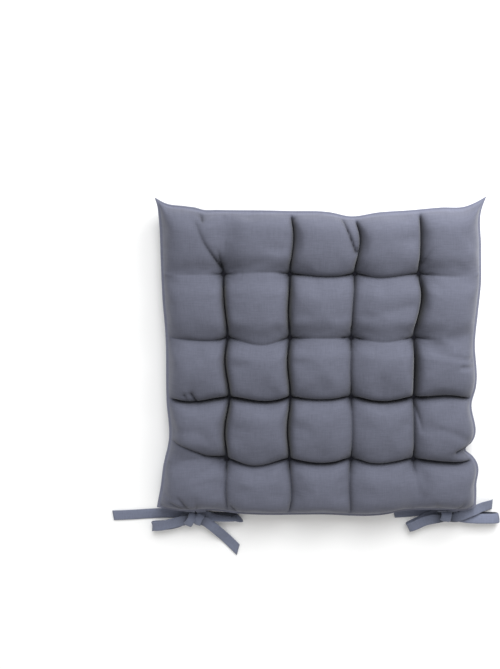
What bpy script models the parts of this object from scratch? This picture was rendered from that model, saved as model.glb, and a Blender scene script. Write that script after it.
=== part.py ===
"""Square tufted chair seat pad with two pairs of fabric ties.

The pad lies flat with its sitting side up (+Z) and its tie edge towards -Y. The origin is
under the middle of the pad, on the surface that it lies on. All sizes are in metres.

Two cover panels meet in a flat sewn lip around the edge, with the turned-in seam allowance
between them. The filling inside is drawn together by sixteen tufting threads, and four flat
ties leave the seam on the -Y edge, tied into two bows that lie on the same surface.
"""

import math

import bmesh
import bpy
from mathutils import Vector

# ---------------------------------------------------------------- driving dimensions
TUFT_PITCH = 0.081  # distance between neighbouring tufts
TUFTS_PER_SIDE = 4
HALF_SIDE = 0.1985  # middle of the pad to the seam edge, at the middle of a side
TUFT_DRIFTS = (  # how far each tuft was sewn off its place: rows from +Y, columns from -X
    ((-0.0040, 0.0), (-0.0005, 0.0), (0.0010, 0.0), (0.0015, 0.0)),
    ((0.0010, -0.0010), (0.0, -0.0010), (-0.0020, -0.0010), (-0.0025, -0.0010)),
    ((0.0030, 0.0020), (0.0010, 0.0020), (-0.0010, 0.0020), (-0.0010, 0.0020)),
    ((-0.0005, 0.0), (0.0005, 0.0), (0.0005, 0.0), (0.0010, 0.0)),
)
EAR_REACH = 0.011  # how much further the edge stands out at a corner
EAR_SHARPNESS = 10  # power of the outline curve, so that only the corners flare
TIE_PLACES = (-0.1630, 0.1665)  # middle of each pair of ties along the -Y edge
TIE_DRAW = 0.0095  # how far the edge is drawn in at a pair of ties
TIE_DRAW_REACH = 0.030
CORNER_HOLD = 30  # power that keeps the corners themselves in place
SEAM_HEIGHT = 0.022  # height of the seam plane above the surface
CROWN_ABOVE = 0.028  # seam plane to the top of a cell
CROWN_BELOW = 0.026  # seam plane to the underside of a cell, before it rests flat
TUFT_HEIGHT = 0.006  # seam plane to the cover at a tuft, on either side
TUFT_FLOOR = 0.0065  # radius of the small flat place at a tuft
TUFT_REACH = 0.036  # how far from a tuft the cover is drawn down
CREASE_SHARE = 0.22  # share of the crown lost on a line between two tufts
CREASE_REACH = 0.012  # half the width of such a line
FLANK_RUN = 0.040  # width of the rounded flank inside the lip
LIP_WIDTH = 0.005  # flat sewn edge around the pad
COVER_THICKNESS = 0.0010
SEAM_THICKNESS = 0.0009  # turned-in allowance, pressed
SEAM_INSET = 0.0006  # edge of the lip to the allowance
SEAM_WIDTH = 0.0040
FIT_GAP = 0.0003  # clearance between pieces that touch
FLANK_STEPS = (0.0035, 0.0095, 0.0200)  # net lines inside the lip
LINES_PER_PITCH = 4
FLOOR_DIAMOND = 0.006  # tuft to the corners of its flat diamond
COVER_HOLE_INSET = 0.0028  # diamond edge to the needle hole in a cover
FILLING_HOLE_INSET = 0.0024

THREAD_RADIUS = 0.0007
TACK_RADIUS = 0.0028  # the small sewn tack at each end of a tufting thread
TACK_THICKNESS = 0.0012
THREAD_SIDES = 8

TIE_WIDTH = 0.0135
TIE_THICKNESS = 0.0014
TIE_STEP = 0.006  # distance between cross-sections along a tie

# ---------------------------------------------------------------- colours (linear) and finish
COVER_COLOUR = (0.175, 0.185, 0.245, 1.0)
THREAD_COLOUR = (0.060, 0.064, 0.090, 1.0)
FILLING_COLOUR = (0.80, 0.80, 0.78, 1.0)
FABRIC_ROUGHNESS = 0.92

# ---------------------------------------------------------------- tie routes
# Each tie leaves the seam, makes one loop, passes back through the bow and ends in a tail.
LEFT_OUTER_ROUTE = (
    (-0.1713, -0.1918, 0.0220),
    (-0.1713, -0.1940, 0.0205),
    (-0.1717, -0.1967, 0.0125),
    (-0.1733, -0.2010, 0.0085),
    (-0.1773, -0.2070, 0.0065),
    (-0.1863, -0.2140, 0.0050),
    (-0.1983, -0.2180, 0.0040),
    (-0.2113, -0.2195, 0.0035),
    (-0.2198, -0.2195, 0.0045),
    (-0.2226, -0.2190, 0.0080),
    (-0.2188, -0.2180, 0.0115),
    (-0.2093, -0.2165, 0.0130),
    (-0.1963, -0.2130, 0.0137),
    (-0.1813, -0.2095, 0.0142),
    (-0.1653, -0.2077, 0.0147),
    (-0.1523, -0.2100, 0.0146),
    (-0.1458, -0.2145, 0.0138),
    (-0.1403, -0.2195, 0.0125),
    (-0.1323, -0.2285, 0.0075),
    (-0.1243, -0.2375, 0.0025),
    (-0.1163, -0.2460, 0.0012),
    (-0.1078, -0.2548, 0.0012),
)
LEFT_INNER_ROUTE = (
    (-0.1571, -0.1926, 0.0220),
    (-0.1571, -0.1943, 0.0205),
    (-0.1569, -0.1963, 0.0125),
    (-0.1548, -0.2010, 0.0095),
    (-0.1483, -0.2050, 0.0095),
    (-0.1383, -0.2068, 0.0100),
    (-0.1233, -0.2077, 0.0105),
    (-0.1103, -0.2077, 0.0097),
    (-0.1050, -0.2077, 0.0062),
    (-0.1103, -0.2080, 0.0024),
    (-0.1233, -0.2083, 0.0014),
    (-0.1413, -0.2080, 0.0012),
    (-0.1573, -0.2060, 0.0012),
    (-0.1733, -0.2038, 0.0012),
    (-0.1913, -0.2030, 0.0012),
    (-0.2163, -0.2033, 0.0012),
    (-0.2463, -0.2050, 0.0012),
    (-0.2762, -0.2062, 0.0012),
)
RIGHT_INNER_ROUTE = (
    (0.1628, -0.1925, 0.0220),
    (0.1628, -0.1942, 0.0205),
    (0.1624, -0.1958, 0.0125),
    (0.1593, -0.2000, 0.0085),
    (0.1513, -0.2047, 0.0065),
    (0.1403, -0.2107, 0.0060),
    (0.1293, -0.2164, 0.0055),
    (0.1228, -0.2195, 0.0062),
    (0.1204, -0.2205, 0.0088),
    (0.1228, -0.2192, 0.0117),
    (0.1303, -0.2157, 0.0130),
    (0.1413, -0.2102, 0.0138),
    (0.1543, -0.2070, 0.0143),
    (0.1695, -0.2059, 0.0148),
    (0.1843, -0.2040, 0.0150),
    (0.1973, -0.1987, 0.0150),
    (0.2083, -0.1947, 0.0135),
    (0.2198, -0.1922, 0.0075),
    (0.2339, -0.1907, 0.0014),
)
RIGHT_OUTER_ROUTE = (
    (0.1770, -0.1928, 0.0220),
    (0.1770, -0.1943, 0.0205),
    (0.1772, -0.1956, 0.0125),
    (0.1803, -0.2012, 0.0095),
    (0.1903, -0.2057, 0.0095),
    (0.2063, -0.2074, 0.0102),
    (0.2243, -0.2077, 0.0105),
    (0.2368, -0.2077, 0.0097),
    (0.2423, -0.2077, 0.0062),
    (0.2368, -0.2078, 0.0024),
    (0.2243, -0.2079, 0.0014),
    (0.2043, -0.2072, 0.0012),
    (0.1863, -0.2042, 0.0012),
    (0.1703, -0.2012, 0.0012),
    (0.1543, -0.1994, 0.0012),
    (0.1373, -0.2000, 0.0012),
    (0.1193, -0.2017, 0.0012),
    (0.1022, -0.2030, 0.0012),
)
TIE_ROUTES = {
    "tie_left_outer": LEFT_OUTER_ROUTE,
    "tie_left_inner": LEFT_INNER_ROUTE,
    "tie_right_inner": RIGHT_INNER_ROUTE,
    "tie_right_outer": RIGHT_OUTER_ROUTE,
}

# ---------------------------------------------------------------- worked-out values
TUFT_SPAN = TUFT_PITCH * (TUFTS_PER_SIDE - 1) / 2
TUFT_LINES = [TUFT_PITCH * i - TUFT_SPAN for i in range(TUFTS_PER_SIDE)]
LIP_HEIGHT = SEAM_THICKNESS / 2 + FIT_GAP + COVER_THICKNESS  # seam plane to a lip's outer face
FLAT_RIM = HALF_SIDE - LIP_WIDTH


def net_lines():
    """Places of the net's lines along one axis, from the middle outwards and mirrored."""
    spacing = TUFT_PITCH / LINES_PER_PITCH
    inner = [spacing * i for i in range(int(TUFT_SPAN / spacing + 0.5) + 3)]
    flank = [FLAT_RIM - step for step in reversed(FLANK_STEPS)]
    half = [line for line in inner if line < flank[0] - spacing / 3] + flank + [FLAT_RIM, HALF_SIDE]
    return [-line for line in reversed(half[1:])] + half


def tuft_cell(coordinate):
    """Tuft line before a place, how far on it is to the next one, and its share of the drift."""
    inside = min(max(coordinate, -TUFT_SPAN), TUFT_SPAN)
    line = min(int((inside + TUFT_SPAN) / TUFT_PITCH), TUFTS_PER_SIDE - 2)
    share = (inside - TUFT_LINES[line]) / TUFT_PITCH
    fade = min(max((FLAT_RIM - abs(coordinate)) / (FLAT_RIM - TUFT_SPAN), 0.0), 1.0)
    return line, share, fade


def tuft_drift(x, y):
    """How far the net moves with the tufts around it, fading to nothing at the lip."""
    column, across, fade_x = tuft_cell(x)
    line, up, fade_y = tuft_cell(y)
    row = TUFTS_PER_SIDE - 1 - line
    lower = [a + (b - a) * across for a, b in zip(TUFT_DRIFTS[row][column], TUFT_DRIFTS[row][column + 1])]
    upper = [
        a + (b - a) * across
        for a, b in zip(TUFT_DRIFTS[row - 1][column], TUFT_DRIFTS[row - 1][column + 1])
    ]
    return [(a + (b - a) * up) * fade_x * fade_y for a, b in zip(lower, upper)]


def tie_draw(x, y):
    """How far the ties draw a point of the net inwards: fully at the -Y edge, fading inside."""
    near_edge = min(max((-y / HALF_SIDE - 0.62) / 0.33, 0.0), 1.0)
    beside = sum(math.exp(-(((x - place) / TIE_DRAW_REACH) ** 4)) for place in TIE_PLACES)
    off_corner = 1 - abs(x / HALF_SIDE) ** CORNER_HOLD
    return TIE_DRAW * beside * off_corner * near_edge**2 * (3 - 2 * near_edge)


def flare(x, y):
    """Move a point of the square net onto the pad: corners that stand out, tufts in their places."""
    stretch_x = 1 + EAR_REACH / HALF_SIDE * abs(y / HALF_SIDE) ** EAR_SHARPNESS
    stretch_y = 1 + EAR_REACH / HALF_SIDE * abs(x / HALF_SIDE) ** EAR_SHARPNESS
    drift_x, drift_y = tuft_drift(x, y)
    return x * stretch_x + drift_x, y * stretch_y + drift_y + tie_draw(x, y)


def flank_rise(coordinate):
    """Share of the full height at a distance inside the lip: a quarter circle."""
    inside = min(max(FLAT_RIM - abs(coordinate), 0.0) / FLANK_RUN, 1.0)
    return math.sqrt(1 - (1 - inside) ** 2)


def nearest_tuft_line(coordinate):
    return min(abs(coordinate - line) for line in TUFT_LINES)


def cover_height(x, y, crown):
    """Distance from the seam plane to the outer face of a cover."""
    rise = flank_rise(x) * flank_rise(y)
    to_line_x = nearest_tuft_line(x)
    to_line_y = nearest_tuft_line(y)
    crease = max(0.0, 1 - min(to_line_x, to_line_y) / CREASE_REACH) * CREASE_SHARE
    to_tuft = math.hypot(to_line_x, to_line_y)
    slack = min(max(to_tuft - TUFT_FLOOR, 0.0) / (TUFT_REACH - TUFT_FLOOR), 1.0)
    pull = (1 - slack) ** 2
    crowned = LIP_HEIGHT + (crown - LIP_HEIGHT) * rise * (1 - crease)
    return crowned * (1 - pull) + TUFT_HEIGHT * pull


def height_above(x, y):
    return cover_height(x, y, CROWN_ABOVE)


def height_below(x, y):
    """The underside is the same shape, pressed flat where it rests."""
    return min(cover_height(x, y, CROWN_BELOW), SEAM_HEIGHT)


# ---------------------------------------------------------------- materials and objects
def fabric_material(name, colour):
    material = bpy.data.materials.new(name)
    material.use_nodes = True
    shader = material.node_tree.nodes["Principled BSDF"]
    shader.inputs["Base Color"].default_value = colour
    shader.inputs["Roughness"].default_value = FABRIC_ROUGHNESS
    shader.inputs["Metallic"].default_value = 0.0
    return material


def add_object(name, bm, material, parent):
    bmesh.ops.recalc_face_normals(bm, faces=bm.faces[:])
    mesh = bpy.data.meshes.new(name)
    bm.to_mesh(mesh)
    bm.free()
    mesh.shade_smooth()
    mesh.materials.append(material)
    piece = bpy.data.objects.new(name, mesh)
    piece.parent = parent
    bpy.context.collection.objects.link(piece)
    return piece


# ---------------------------------------------------------------- pad
def pad_net(lines):
    """A flat net on the given lines, with a small diamond around each tuft."""
    count = len(lines) - 1
    bm = bmesh.new()
    bmesh.ops.create_grid(bm, x_segments=count, y_segments=count, size=count / 2)
    for vert in bm.verts:
        vert.co.x = lines[int(round(vert.co.x + count / 2))]
        vert.co.y = lines[int(round(vert.co.y + count / 2))]
    tufts = [
        vert
        for vert in bm.verts
        if nearest_tuft_line(vert.co.x) < 1e-6 and nearest_tuft_line(vert.co.y) < 1e-6
    ]
    bmesh.ops.bevel(
        bm,
        geom=tufts,
        offset=FLOOR_DIAMOND,
        offset_type="OFFSET",
        affect="VERTICES",
        segments=1,
        profile=0.5,
        material=-1,
    )
    return bm


def pierce_tufts(bm, inset):
    """Cut the needle hole in the middle of each tuft's diamond."""
    diamonds = []
    for face in bm.faces:
        middle = face.calc_center_median()
        if math.hypot(nearest_tuft_line(middle.x), nearest_tuft_line(middle.y)) < FLOOR_DIAMOND / 4:
            diamonds.append(face)
    bmesh.ops.inset_individual(bm, faces=diamonds, thickness=inset, use_even_offset=True)
    bmesh.ops.delete(bm, geom=diamonds, context="FACES")


def keep_faces(bm, wanted):
    """Keep only the faces whose middle passes the test."""
    spare = [face for face in bm.faces if not wanted(face.calc_center_median())]
    bmesh.ops.delete(bm, geom=spare, context="FACES")


def thicken(bm, upper, lower):
    """Turn the flat net into a closed layer between two height functions."""
    bmesh.ops.triangulate(bm, faces=bm.faces[:], quad_method="FIXED", ngon_method="BEAUTY")
    base = bm.verts[:]
    grown = bmesh.ops.extrude_face_region(bm, geom=bm.faces[:])
    raised = [item for item in grown["geom"] if isinstance(item, bmesh.types.BMVert)]
    for verts, height in ((base, lower), (raised, upper)):
        for vert in verts:
            x, y = vert.co.x, vert.co.y
            vert.co = (*flare(x, y), SEAM_HEIGHT + height(x, y))


def make_top_cover(parent):
    bm = pad_net(net_lines())
    pierce_tufts(bm, COVER_HOLE_INSET)
    thicken(bm, height_above, lambda x, y: height_above(x, y) - COVER_THICKNESS)
    add_object("top_cover", bm, fabric_material("top_cover", COVER_COLOUR), parent)


def make_bottom_cover(parent):
    bm = pad_net(net_lines())
    pierce_tufts(bm, COVER_HOLE_INSET)
    thicken(bm, lambda x, y: COVER_THICKNESS - height_below(x, y), lambda x, y: -height_below(x, y))
    add_object("bottom_cover", bm, fabric_material("bottom_cover", COVER_COLOUR), parent)


def make_filling(parent):
    """Loose fibre that fills the cover, with a channel for each tufting thread."""
    clearance = COVER_THICKNESS + FIT_GAP
    bm = pad_net(net_lines())
    keep_faces(bm, lambda middle: max(abs(middle.x), abs(middle.y)) < FLAT_RIM)
    pierce_tufts(bm, FILLING_HOLE_INSET)
    thicken(
        bm,
        lambda x, y: height_above(x, y) - clearance,
        lambda x, y: clearance - height_below(x, y),
    )
    add_object("filling", bm, fabric_material("filling", FILLING_COLOUR), parent)


def make_seam_allowance(parent):
    """The turned-in edges of both panels, a flat ring inside the lip."""
    lines = net_lines()
    outer = HALF_SIDE - SEAM_INSET
    inner = outer - SEAM_WIDTH
    lines[0], lines[1], lines[-2], lines[-1] = -outer, -inner, inner, outer
    bm = pad_net(lines)
    keep_faces(bm, lambda middle: max(abs(middle.x), abs(middle.y)) > inner)
    thicken(bm, lambda x, y: SEAM_THICKNESS / 2, lambda x, y: -SEAM_THICKNESS / 2)
    add_object("seam_allowance", bm, fabric_material("seam_allowance", COVER_COLOUR), parent)


# ---------------------------------------------------------------- tufting threads
def make_tuft_thread(name, x, y, parent):
    """A thread through the pad with a sewn tack on each side, turned about its own axis."""
    tack_foot = TUFT_HEIGHT + FIT_GAP
    tack_head = tack_foot + TACK_THICKNESS
    profile = (
        (0.0, tack_head),
        (TACK_RADIUS, tack_head),
        (TACK_RADIUS, tack_foot),
        (THREAD_RADIUS, tack_foot),
        (THREAD_RADIUS, -tack_foot),
        (TACK_RADIUS, -tack_foot),
        (TACK_RADIUS, -tack_head),
        (0.0, -tack_head),
    )
    bm = bmesh.new()
    verts = [bm.verts.new((radius, 0.0, height)) for radius, height in profile]
    edges = [bm.edges.new(pair) for pair in zip(verts, verts[1:])]
    bmesh.ops.spin(
        bm,
        geom=verts + edges,
        cent=(0, 0, 0),
        axis=(0, 0, 1),
        angle=2 * math.pi,
        steps=THREAD_SIDES,
        use_merge=True,
    )
    bmesh.ops.remove_doubles(bm, verts=bm.verts[:], dist=1e-6)
    piece = add_object(name, bm, fabric_material(name, THREAD_COLOUR), parent)
    piece.location = (x, y, SEAM_HEIGHT)


def make_tuft_threads(parent):
    for row, y in enumerate(reversed(TUFT_LINES), start=1):
        for column, x in enumerate(TUFT_LINES, start=1):
            make_tuft_thread(f"tuft_thread_{row}{column}", *flare(x, y), parent)


# ---------------------------------------------------------------- ties
def smooth_route(points, step):
    """Points about one step apart on a smooth curve through the route's own points."""
    knots = [Vector(point) for point in points]
    knots = [2 * knots[0] - knots[1]] + knots + [2 * knots[-1] - knots[-2]]
    route = []
    for before, start, end, after in zip(knots, knots[1:], knots[2:], knots[3:]):
        pieces = max(1, round((end - start).length / step))
        for piece in range(pieces):
            t = piece / pieces
            route.append(
                0.5
                * (
                    2 * start
                    + (end - before) * t
                    + (2 * before - 5 * start + 4 * end - after) * t**2
                    + (3 * start - before - 3 * end + after) * t**3
                )
            )
    return route + [knots[-2]]


def level_directions(route):
    """Direction along the tie, and level direction across it, at each point of a route."""
    frames = []
    across = None
    for index, point in enumerate(route):
        behind = route[max(index - 1, 0)]
        ahead = route[min(index + 1, len(route) - 1)]
        along = (ahead - behind).normalized()
        level = Vector((0, 0, 1)).cross(along)
        if level.length < 0.35 and across is not None:
            level = across - along * across.dot(along)
        level.normalize()
        if across is not None and level.dot(across) < 0:
            level.negate()
        across = level
        frames.append((point, along, across))
    return frames


def make_tie(name, points, parent):
    """A flat fabric tie: one cross-section extruded from point to point along its route."""
    bm = bmesh.new()
    corners = []
    frames = level_directions(smooth_route(points, TIE_STEP))
    for point, along, across in frames:
        up = along.cross(across)
        corners.append(
            [
                point + across * (side * TIE_WIDTH / 2) + up * (lift * TIE_THICKNESS / 2)
                for side, lift in ((-1, -1), (1, -1), (1, 1), (-1, 1))
            ]
        )
    start = bm.faces.new([bm.verts.new(corner) for corner in corners[0]])
    end = start
    for places in corners[1:]:
        grown = bmesh.ops.extrude_face_region(bm, geom=[end])["geom"]
        if end is not start:
            bmesh.ops.delete(bm, geom=[end], context="FACES_ONLY")
        end = next(item for item in grown if isinstance(item, bmesh.types.BMFace))
        for vert, place in zip(end.verts, places):
            vert.co = place
    add_object(name, bm, fabric_material(name, COVER_COLOUR), parent)


def make_ties(parent):
    for name, points in TIE_ROUTES.items():
        make_tie(name, points, parent)


def main():
    for item in list(bpy.data.objects):
        bpy.data.objects.remove(item)
    pad = bpy.data.objects.new("seat_pad", None)
    bpy.context.collection.objects.link(pad)
    make_top_cover(pad)
    make_bottom_cover(pad)
    make_filling(pad)
    make_seam_allowance(pad)
    make_tuft_threads(pad)
    make_ties(pad)


main()
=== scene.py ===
"""Looks of a square tufted chair seat pad with two bows of flat fabric ties."""

import math

import bmesh
import bpy
import numpy as np
from mathutils import Matrix, Vector


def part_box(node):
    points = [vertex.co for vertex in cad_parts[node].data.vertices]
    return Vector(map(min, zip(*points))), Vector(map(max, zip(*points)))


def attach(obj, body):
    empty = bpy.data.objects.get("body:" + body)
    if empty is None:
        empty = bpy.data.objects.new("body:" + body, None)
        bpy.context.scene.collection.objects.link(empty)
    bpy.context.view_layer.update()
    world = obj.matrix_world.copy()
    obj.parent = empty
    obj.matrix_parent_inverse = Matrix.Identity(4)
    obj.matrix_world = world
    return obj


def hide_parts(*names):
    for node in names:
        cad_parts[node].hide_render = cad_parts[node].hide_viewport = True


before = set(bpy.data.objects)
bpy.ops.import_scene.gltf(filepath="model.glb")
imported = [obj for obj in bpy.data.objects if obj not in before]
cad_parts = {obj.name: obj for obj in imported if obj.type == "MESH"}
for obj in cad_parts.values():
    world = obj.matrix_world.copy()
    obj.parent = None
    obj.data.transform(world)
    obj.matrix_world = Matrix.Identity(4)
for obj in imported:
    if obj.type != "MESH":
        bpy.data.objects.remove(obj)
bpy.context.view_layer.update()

bl_info = {
    "name": "Tufted Seat Pad",
    "version": (1, 0, 0),
    "blender": (4, 5, 0),
    "location": "View3D > Sidebar > Seat Pad",
    "description": "Models a tufted chair seat pad with bowed ties around its packed frame",
    "category": "Add Mesh",
}

# ---------------------------------------------------------------- places taken from the frame
# Metres, +Z up, sitting side up, tie edge towards -Y. Row 1 of the tufts is at +Y, column 1 at -X.
TUFTS_PER_SIDE = 4
TUFT_ROWS = range(1, TUFTS_PER_SIDE + 1)
TUFT_NODES = [f"tuft_thread_{row}{column}" for row in TUFT_ROWS for column in TUFT_ROWS]


def box_middle(node):
    low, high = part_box(node)
    return (Vector(low) + Vector(high)) / 2


TUFT_PLACES = {node: box_middle(node) for node in TUFT_NODES}
SEAM_HEIGHT = TUFT_PLACES["tuft_thread_11"].z


# ---------------------------------------------------------------- settings
def length_setting(name, description, default):
    return bpy.props.FloatProperty(
        name=name, description=description, default=default, unit="LENGTH"
    )


def colour_setting(name, description, default):
    return bpy.props.FloatVectorProperty(
        name=name, description=description, default=default, subtype="COLOR"
    )


class PadShape(bpy.types.PropertyGroup):
    """Sizes of the pad's cover and of what shapes it."""

    tuft_pitch: length_setting("Tuft pitch", "Distance between neighbouring tufts", 0.081)
    half_side: length_setting("Half side", "Middle of the pad to the seam edge", 0.1985)
    lip_width: length_setting("Lip width", "Width of the flat sewn edge", 0.0024)
    cloth_thickness: length_setting("Cloth thickness", "Thickness of the cover's cloth", 0.0008)
    excess: bpy.props.FloatProperty(
        name="Spare cloth",
        description="How much longer the cloth is than the shape that it starts from",
        default=0.025,
        subtype="FACTOR",
    )
    pressure: bpy.props.FloatProperty(
        name="Pressure",
        description="How hard the filling pushes the cover outwards",
        default=7.0,
    )
    settle_steps: bpy.props.IntProperty(
        name="Settling steps",
        description="Number of steps over which the cover swells and settles",
        default=16,
    )
    slit_depth: length_setting(
        "Slit depth", "How much deeper than the settled cloth the sharpest crease lies", 0.008
    )


# ---------------------------------------------------------------- net of the cover
# The cover's cloth is a square net. A tuft line, the lip and the edge each fall on one of its lines.
CELLS_PER_PITCH = 28
TUFT_LINE = CELLS_PER_PITCH * (TUFTS_PER_SIDE - 1) // 2
LIP_LINE = TUFT_LINE + 25
EDGE_LINE = LIP_LINE + 2
TUFT_LINES = [TUFT_LINE - CELLS_PER_PITCH * step for step in range(TUFTS_PER_SIDE)]

# Outline of the lip: (place along the side, how far it stands out of the square), in millimetres.
FAR_EDGE = (
    (-198.5, 19.5), (-187, 12.5), (-165, 8.4), (-155, 6.6), (-149, 4.4), (-132, 3.8), (-71, 3.2),
    (-41, 2.5), (9, 1.0),
    (34.5, -4.0), (72, 1.0), (110, 3.5), (148, 7.0), (175, 8.5), (189, 15.0), (198.5, 21.0),
)
TIE_EDGE = (
    (-198.5, -11.0), (-165, -5.0), (-145, -6.5), (-105, -2.0), (0, -1.0), (93, -2.0), (106, -5.0),
    (160, -7.0), (185, -6.5), (198.5, -11.0),
)
LEFT_EDGE = (
    (-198.5, 16.5), (-165, 11.0), (-130, 7.0), (-96, -0.5), (-43, 1.8), (49, 2.4), (88, 5.2),
    (136, 6.8), (176, 8.5), (190, 10.5), (198.5, 13.5),
)
RIGHT_EDGE = (
    (-198.5, 8.5), (-165, 8.0), (-117, 1.0), (-109, -8.0), (-99, 0.0), (-43, -1.5), (-30, 2.0),
    (36, -0.5), (75, 2.2), (110, 4.5), (150, 3.0), (183, 1.5), (198.5, 7.5),
)

# Creases between tufts: (how strongly each is drawn in, how far it bows in millimetres, how far
# along it bows most). Upright ones by column from -X, each from the far edge to the tie edge; a
# bow is towards +X.
UPRIGHT_CREASES = (
    ((0.30, 0, 0.5), (0.90, -1, 0.5), (0.95, -4, 0.4), (0.95, -4, 0.5), (0.55, -2, 0.5)),
    ((0.80, 4, 0.4), (0.95, -2, 0.6), (0.95, -3, 0.4), (0.95, -3, 0.5), (0.60, 3, 0.6)),
    ((0.75, 6, 0.4), (0.60, -1, 0.5), (0.55, -2, 0.5), (0.50, 0, 0.5), (0.55, -3, 0.4)),
    ((0.75, 1, 0.5), (0.95, 5, 0.4), (1.00, 1, 0.3), (0.60, -1, 0.5), (0.35, 4, 0.6)),
)
# Level ones by row from +Y, each from -X to +X; a bow is towards +Y.
LEVEL_CREASES = (
    ((0.30, 0, 0.5), (0.35, 3, 0.6), (0.64, -3, 0.6), (0.56, -4, 0.4), (0.28, -2, 0.5)),
    ((0.52, -3, 0.7), (0.44, -8, 0.55), (0.44, 1, 0.5), (0.40, -4, 0.5), (0.25, 0, 0.5)),
    ((0.90, -4, 0.4), (0.88, -5, 0.6), (0.72, -2, 0.5), (0.88, -5, 0.5), (0.85, 4, 0.6)),
    ((0.35, 3, 0.5), (0.68, -7, 0.45), (0.82, -4, 0.5), (0.70, -4, 0.4), (0.85, -3, 0.7)),
)
UPRIGHT_SLIT = 1.3  # how much deeper an upright slit is than a level one
WEAKEST_HELD_CREASE = 0.28
SLIT_START = 0.35  # creases drawn in less than this are soft valleys without a slit


def smooth_curve(points, places):
    """Values at places on a smooth curve through (place, value) points, in metres."""
    knots = np.array(points, float) / 1000
    slopes = np.gradient(knots[:, 1], knots[:, 0])
    index = np.clip(np.searchsorted(knots[:, 0], places) - 1, 0, len(knots) - 2)
    start, end = knots[index], knots[index + 1]
    width = end[..., 0] - start[..., 0]
    t = np.clip((places - start[..., 0]) / width, 0, 1)
    held_start = (1 + 2 * t) * (1 - t) ** 2 * start[..., 1] + t**2 * (3 - 2 * t) * end[..., 1]
    turned = t * (1 - t) ** 2 * slopes[index] - t**2 * (1 - t) * slopes[index + 1]
    return held_start + turned * width


def smooth_step(values, low, high):
    share = np.clip((values - low) / (high - low), 0, 1)
    return share * share * (3 - 2 * share)


def net_grid():
    """Line numbers of every point of the net, across and up."""
    lines = np.arange(-EDGE_LINE, EDGE_LINE + 1)
    return np.meshgrid(lines, lines, indexing="ij")


def flat_place(lines, shape):
    """Place of net lines on the flat square."""
    span = shape.tuft_pitch * (TUFTS_PER_SIDE - 1) / 2
    knots = [0, TUFT_LINE, LIP_LINE, EDGE_LINE]
    places = [0, span, shape.half_side - shape.lip_width, shape.half_side]
    return np.sign(lines) * np.interp(np.abs(lines), knots, places)


def tuft_drift(across, up, shape):
    """How far the net moves with the sewn place of the tufts around each point."""
    span = shape.tuft_pitch * (TUFTS_PER_SIDE - 1) / 2
    sewn = np.zeros((TUFTS_PER_SIDE, TUFTS_PER_SIDE, 2))
    for row in range(TUFTS_PER_SIDE):
        for column in range(TUFTS_PER_SIDE):
            place = TUFT_PLACES[f"tuft_thread_{TUFTS_PER_SIDE - row}{column + 1}"]
            sewn[column, row, 0] = place.x - (column * shape.tuft_pitch - span)
            sewn[column, row, 1] = place.y - (row * shape.tuft_pitch - span)
    steps_x = np.clip((across + TUFT_LINE) / CELLS_PER_PITCH, 0, TUFTS_PER_SIDE - 1)
    steps_y = np.clip((up + TUFT_LINE) / CELLS_PER_PITCH, 0, TUFTS_PER_SIDE - 1)
    column = np.minimum(steps_x.astype(int), TUFTS_PER_SIDE - 2)
    row = np.minimum(steps_y.astype(int), TUFTS_PER_SIDE - 2)
    tx = smooth_step(steps_x - column, 0, 1)[..., None]
    ty = smooth_step(steps_y - row, 0, 1)[..., None]
    low = sewn[column, row] * (1 - tx) + sewn[column + 1, row] * tx
    high = sewn[column, row + 1] * (1 - tx) + sewn[column + 1, row + 1] * tx
    fade = np.clip((LIP_LINE - np.abs(across)) / (LIP_LINE - TUFT_LINE), 0, 1)
    fade = fade * np.clip((LIP_LINE - np.abs(up)) / (LIP_LINE - TUFT_LINE), 0, 1)
    return (low * (1 - ty) + high * ty) * fade[..., None]


BOW_FULLNESS = 0.85  # how full a crease's bow is, 1 being a cosine


def crease_bows(across, up, creases):
    """Sideways bow of the creases that run along the second direction."""
    bow = np.zeros(across.shape)
    stops = [LIP_LINE, *TUFT_LINES, -LIP_LINE]
    for line, segments in zip(reversed(TUFT_LINES), creases):
        nearness = 1 - smooth_step(np.abs(across - line), 0, CELLS_PER_PITCH / 2)
        for start, end, (_, reach, peak) in zip(stops, stops[1:], segments):
            t = np.clip((start - up) / (start - end), 0, 1) ** (math.log(0.5) / math.log(peak))
            bow += reach / 1000 * (0.5 - 0.5 * np.cos(2 * math.pi * t)) ** BOW_FULLNESS * nearness
    return bow


def turned_creases():
    """The level creases, told the way the upright ones are: by line from -Y, from +X to -X."""
    return [
        tuple((drawn, reach, 1 - peak) for drawn, reach, peak in reversed(segments))
        for segments in reversed(LEVEL_CREASES)
    ]


def net_places(shape):
    """Where each point of the net starts, seen from above."""
    across, up = net_grid()
    x = flat_place(across, shape)
    y = flat_place(up, shape)
    edge_x = smooth_step(np.abs(across), TUFT_LINE, EDGE_LINE)
    edge_y = smooth_step(np.abs(up), TUFT_LINE, EDGE_LINE)
    right = np.where(x > 0, smooth_curve(RIGHT_EDGE, y), -smooth_curve(LEFT_EDGE, y))
    far = np.where(y > 0, smooth_curve(FAR_EDGE, x), -smooth_curve(TIE_EDGE, x))
    drift = tuft_drift(across, up, shape)
    bow_x = crease_bows(across, up, UPRIGHT_CREASES)
    bow_y = crease_bows(up, across, turned_creases())
    return x + right * edge_x + drift[..., 0] + bow_x, y + far * edge_y + drift[..., 1] + bow_y


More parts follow.
